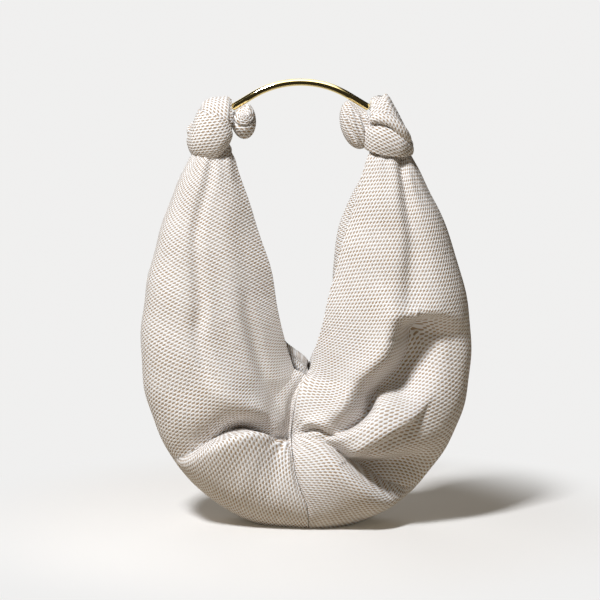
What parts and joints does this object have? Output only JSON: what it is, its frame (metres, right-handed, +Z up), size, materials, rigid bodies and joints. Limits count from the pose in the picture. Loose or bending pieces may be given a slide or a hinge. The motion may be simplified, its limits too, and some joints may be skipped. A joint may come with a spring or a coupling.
{
  "type": "knotted hobo handbag",
  "caption": "Crescent shoulder bag in two-tone woven cloth, gathered to a point at the front, its two ends knotted through an arched polished brass tube handle.",
  "frame": {"origin": "on the floor, under the middle of the bag's width and depth", "axes": "+Z up towards the handle, +X to the bag's right as seen from the front, front towards -Y"},
  "size_m": [0.331, 0.1345, 0.445],
  "materials": {
    "woven_cloth": "coarse cream and tan weave",
    "lining_cloth": "plain fine weave",
    "polished_brass": "mirror polish",
    "snap_metal": "satin plate"
  },
  "bodies": {
    "bag": {"shell_left": "woven_cloth", "shell_right": "woven_cloth", "facing_front_left": "woven_cloth", "facing_front_right": "woven_cloth", "facing_back_left": "woven_cloth", "facing_back_right": "woven_cloth", "knot_left": "woven_cloth", "knot_right": "woven_cloth", "knot_tail_left": "woven_cloth", "knot_tail_right": "woven_cloth", "lining_left": "lining_cloth", "lining_right": "lining_cloth", "slip_pocket": "lining_cloth", "snap_socket": "snap_metal", "snap_stud": "snap_metal"},
    "handle": {"handle_tube": "polished_brass", "handle_plug_left": "polished_brass", "handle_plug_right": "polished_brass", "handle_eye_left": "polished_brass", "handle_eye_right": "polished_brass", "handle_wrap_left": "woven_cloth", "handle_wrap_right": "woven_cloth"}
  },
  "joints": [
    {"name": "handle_tilt", "type": "hinge", "parent": "bag", "child": "handle", "pos_m": [-0.0055, 0, 0.4057], "axis": [1, 0, 0], "range_deg": [-45, 45]}
  ]
}
